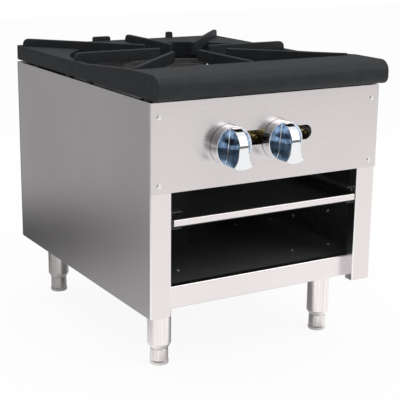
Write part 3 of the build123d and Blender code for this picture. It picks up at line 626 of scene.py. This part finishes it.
class RANGE_OT_inlet_thread(bpy.types.Operator):
    """Cuts the pipe thread on the gas inlet"""

    bl_idname = "range.inlet_thread"
    bl_label = "Inlet thread"

    def execute(self, context):
        thread = context.scene.range_thread
        inlet = next(m for m in frame["record"]["mounts"] if m["name"] == "gas_inlet")
        radius = inlet["dims"]["r_mm"] / 1000
        centre = Vector(inlet["pos_m"])
        half = inlet["dims"]["length_mm"] / 2000
        start, end = centre.y - half + THREAD_ENDS[0], centre.y + half - THREAD_ENDS[1]
        steps = int((end - start - thread.pitch) / thread.pitch * thread.sides)
        mesh = bpy.data.meshes.new("inlet_thread")
        build = bmesh.new()
        rings = []
        for i in range(steps + 1):
            turn = 2 * pi * i / thread.sides
            y = start + thread.pitch / 2 + thread.pitch * i / thread.sides
            fade = min(1.0, i / thread.sides, (steps - i) / thread.sides)
            root, crest = radius - THREAD_SINK, radius + thread.height * max(fade, THREAD_FADED)
            section = ((root, -THREAD_FOOT), (crest, -THREAD_CREST), (crest, THREAD_CREST),
                       (root, THREAD_FOOT))
            rings.append([build.verts.new((centre.x + r * cos(turn), y + k * thread.pitch,
                                           centre.z + r * sin(turn))) for r, k in section])
        for a, b in zip(rings, rings[1:]):
            for k in range(4):
                build.faces.new((a[k], a[(k + 1) % 4], b[(k + 1) % 4], b[k]))
        build.faces.new(list(reversed(rings[0])))
        build.faces.new(rings[-1])
        bmesh.ops.recalc_face_normals(build, faces=build.faces)
        build.to_mesh(mesh)
        build.free()
        piece = bpy.data.objects.new("inlet_thread", mesh)
        context.scene.collection.objects.link(piece)
        piece.data.materials.append(bpy.data.materials["pipe_lacquer"])
        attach(piece, "range_body")
        return {"FINISHED"}


class RANGE_OT_studio(bpy.types.Operator):
    """Sets the floor, the surroundings, the lamps and the camera"""

    bl_idname = "range.studio"
    bl_label = "Studio"

    def execute(self, context):
        studio = context.scene.range_studio
        scene = context.scene
        scene.view_settings.view_transform = "Standard"
        self.floor(scene, studio)
        self.room(scene, studio)
        self.lamps(scene, studio)
        self.camera(scene, studio)
        return {"FINISHED"}

    def floor(self, scene, studio):
        """White floor that keeps a soft shadow; metal mirrors it bright, dimmer at the left."""
        mesh = bpy.data.meshes.new("studio_floor")
        build = bmesh.new()
        bmesh.ops.create_grid(build, x_segments=8, y_segments=8, size=FLOOR_SIZE)
        build.to_mesh(mesh)
        build.free()
        floor = bpy.data.objects.new("studio_floor", mesh)
        scene.collection.objects.link(floor)
        finish = Finish("studio_floor", roughness=0.9, colour=(0.90, 0.90, 0.90), specular=0.1)
        here = finish.coords.outputs["Object"]
        left = finish.add("ShaderNodeVectorMath", operation="DOT_PRODUCT")
        left.inputs[1].default_value = TO_DIM_SIDE
        finish.join(here, left.inputs[0])
        lit = finish.remap(left.outputs["Value"], 1.0, studio.mirror_side, *DIM_SIDE_SPAN)
        for centre, dark, near, far in DIM_PATCHES:
            patch = finish.add("ShaderNodeVectorMath", operation="DISTANCE")
            patch.inputs[1].default_value = centre
            finish.join(here, patch.inputs[0])
            soft = finish.add("ShaderNodeMapRange", interpolation_type="SMOOTHSTEP")
            set_range(soft, near, far, dark, 1.0)
            finish.join(patch.outputs["Value"], soft.inputs["Value"])
            lit = finish.math("MULTIPLY", lit, soft.outputs["Result"])
        place = finish.add("ShaderNodeSeparateXYZ")
        finish.join(here, place.inputs["Vector"])
        sides = []
        for low, high, here_along in zip(*CAD_BOX, (place.outputs["X"], place.outputs["Y"])):
            off = finish.math("ABSOLUTE", finish.math("SUBTRACT", here_along, (low + high) / 2))
            sides.append(finish.math("DIVIDE", off, (high - low) / 2))
        under = finish.math("MAXIMUM", *sides)
        # Painted shadow under the range, seen only in reflections.
        lit = finish.math("MULTIPLY", lit, finish.remap(under, studio.mirror_under, 1.0, *UNDER_SPAN))
        rays = finish.add("ShaderNodeLightPath")
        glossy = rays.outputs["Is Glossy Ray"]
        white = finish.add("ShaderNodeEmission")
        level = finish.add("ShaderNodeMix", data_type="FLOAT")
        finish.join(glossy, level.inputs[0])
        level.inputs[2].default_value = 1.0
        finish.join(lit, level.inputs[3])
        finish.join(level.outputs[0], white.inputs["Strength"])
        seen = finish.math("MULTIPLY", rays.outputs["Is Camera Ray"], FLOOR_SHARE)
        mirrored = finish.math("MAXIMUM", glossy, rays.outputs["Is Transmission Ray"])
        share = finish.math("MAXIMUM", seen, mirrored)
        mix = finish.add("ShaderNodeMixShader")
        finish.join(share, mix.inputs["Fac"])
        finish.join(finish.bsdf.outputs["BSDF"], mix.inputs[1])
        finish.join(white.outputs["Emission"], mix.inputs[2])
        finish.join(mix.outputs["Shader"], finish.output.inputs["Surface"])
        mesh.materials.append(finish.material)

    def room(self, scene, studio):
        """Even light on everything; polished metal sees a dim horizon under a bright ceiling."""
        world = bpy.data.worlds.new("studio_room")
        world.use_nodes = True
        tree = world.node_tree
        tree.nodes.clear()
        link = tree.links.new
        output = tree.nodes.new("ShaderNodeOutputWorld")
        backdrop = tree.nodes.new("ShaderNodeBackground")
        link(backdrop.outputs["Background"], output.inputs["Surface"])
        coords = tree.nodes.new("ShaderNodeTexCoord")
        split = tree.nodes.new("ShaderNodeSeparateXYZ")
        link(coords.outputs["Generated"], split.inputs["Vector"])
        height = tree.nodes.new("ShaderNodeMapRange")
        height.interpolation_type = "SMOOTHSTEP"
        set_range(height, *HORIZON_SPAN, studio.mirror_horizon, 1.0)
        link(split.outputs["Z"], height.inputs["Value"])
        rays = tree.nodes.new("ShaderNodeLightPath")
        level = height.outputs["Result"]
        for seen_by, plain in (("Is Glossy Ray", studio.room_level), ("Is Camera Ray", None)):
            mix = tree.nodes.new("ShaderNodeMix")
            mix.data_type = "FLOAT"
            link(rays.outputs[seen_by], mix.inputs[0])
            if plain is not None:
                mix.inputs[2].default_value = plain
                link(level, mix.inputs[3])
            else:
                link(level, mix.inputs[2])
                mix.inputs[3].default_value = 1.0
            level = mix.outputs[0]
        link(level, backdrop.inputs["Strength"])
        backdrop.inputs["Color"].default_value = (1, 1, 1, 1)
        scene.world = world

    def lamps(self, scene, studio):
        aim = Vector((0, 0, 0.30))
        plan = (("key_lamp", (1.5, -2.0, 1.8), (2.2, 2.2), studio.key_power, (1.0, 0.985, 0.98)),
                ("top_lamp", (-0.2, 0.4, 2.4), (2.0, 2.0), studio.top_power, (1.0, 1.0, 1.0)))
        for name, place, size, power, colour in plan:
            data = bpy.data.lights.new(name, "AREA")
            data.shape = "RECTANGLE"
            data.size, data.size_y = size
            data.energy = power
            data.color = colour
            lamp = bpy.data.objects.new(name, data)
            lamp.location = place
            lamp.rotation_euler = (aim - Vector(place)).to_track_quat("-Z", "Y").to_euler()
            scene.collection.objects.link(lamp)

    def camera(self, scene, studio):
        az, el, roll = (radians(v) for v in (studio.azimuth, studio.elevation, studio.roll))
        ahead = Vector((-sin(az) * cos(el), cos(az) * cos(el), -sin(el)))
        right = ahead.cross(Vector((0, 0, 1))).normalized()
        up = right.cross(ahead)
        across = right * cos(roll) + up * sin(roll)
        upward = up * cos(roll) - right * sin(roll)
        data = bpy.data.cameras.new("studio_camera")
        data.sensor_width = 36
        data.lens = studio.lens
        data.clip_end = 50
        camera = bpy.data.objects.new("studio_camera", data)
        turn = Matrix((across, upward, -ahead)).transposed()
        camera.matrix_world = Matrix.Translation(Vector(studio.camera_place)) @ turn.to_4x4()
        scene.collection.objects.link(camera)
        scene.camera = camera


OPERATORS = (RANGE_OT_cabinet_steel, RANGE_OT_inner_enamel, RANGE_OT_castings, RANGE_OT_knobs,
             RANGE_OT_gas_train, RANGE_OT_legs, RANGE_OT_fasteners, RANGE_OT_inlet_thread,
             RANGE_OT_studio)


class VIEW3D_PT_range(bpy.types.Panel):
    """Lists the finishing steps and their settings"""

    bl_idname = "VIEW3D_PT_range"
    bl_label = "Stock-pot range"
    bl_space_type = "VIEW_3D"
    bl_region_type = "UI"
    bl_category = "Range"

    def draw(self, context):
        for operator in OPERATORS:
            self.layout.operator(operator.bl_idname)
        for name, group in SETTINGS.items():
            box = self.layout.box()
            box.label(text=group.__doc__)
            for prop in group.__annotations__:
                box.prop(getattr(context.scene, name), prop)


def register():
    for cls in (*SETTINGS.values(), *OPERATORS, VIEW3D_PT_range):
        bpy.utils.register_class(cls)
    for name, group in SETTINGS.items():
        setattr(bpy.types.Scene, name, PointerProperty(type=group))


def unregister():
    for name in SETTINGS:
        delattr(bpy.types.Scene, name)
    for cls in reversed((*SETTINGS.values(), *OPERATORS, VIEW3D_PT_range)):
        bpy.utils.unregister_class(cls)


def main():
    register()
    for operator in OPERATORS:
        group, name = operator.bl_idname.split(".")
        getattr(getattr(bpy.ops, group), name)()


if __name__ == "__main__":
    main()
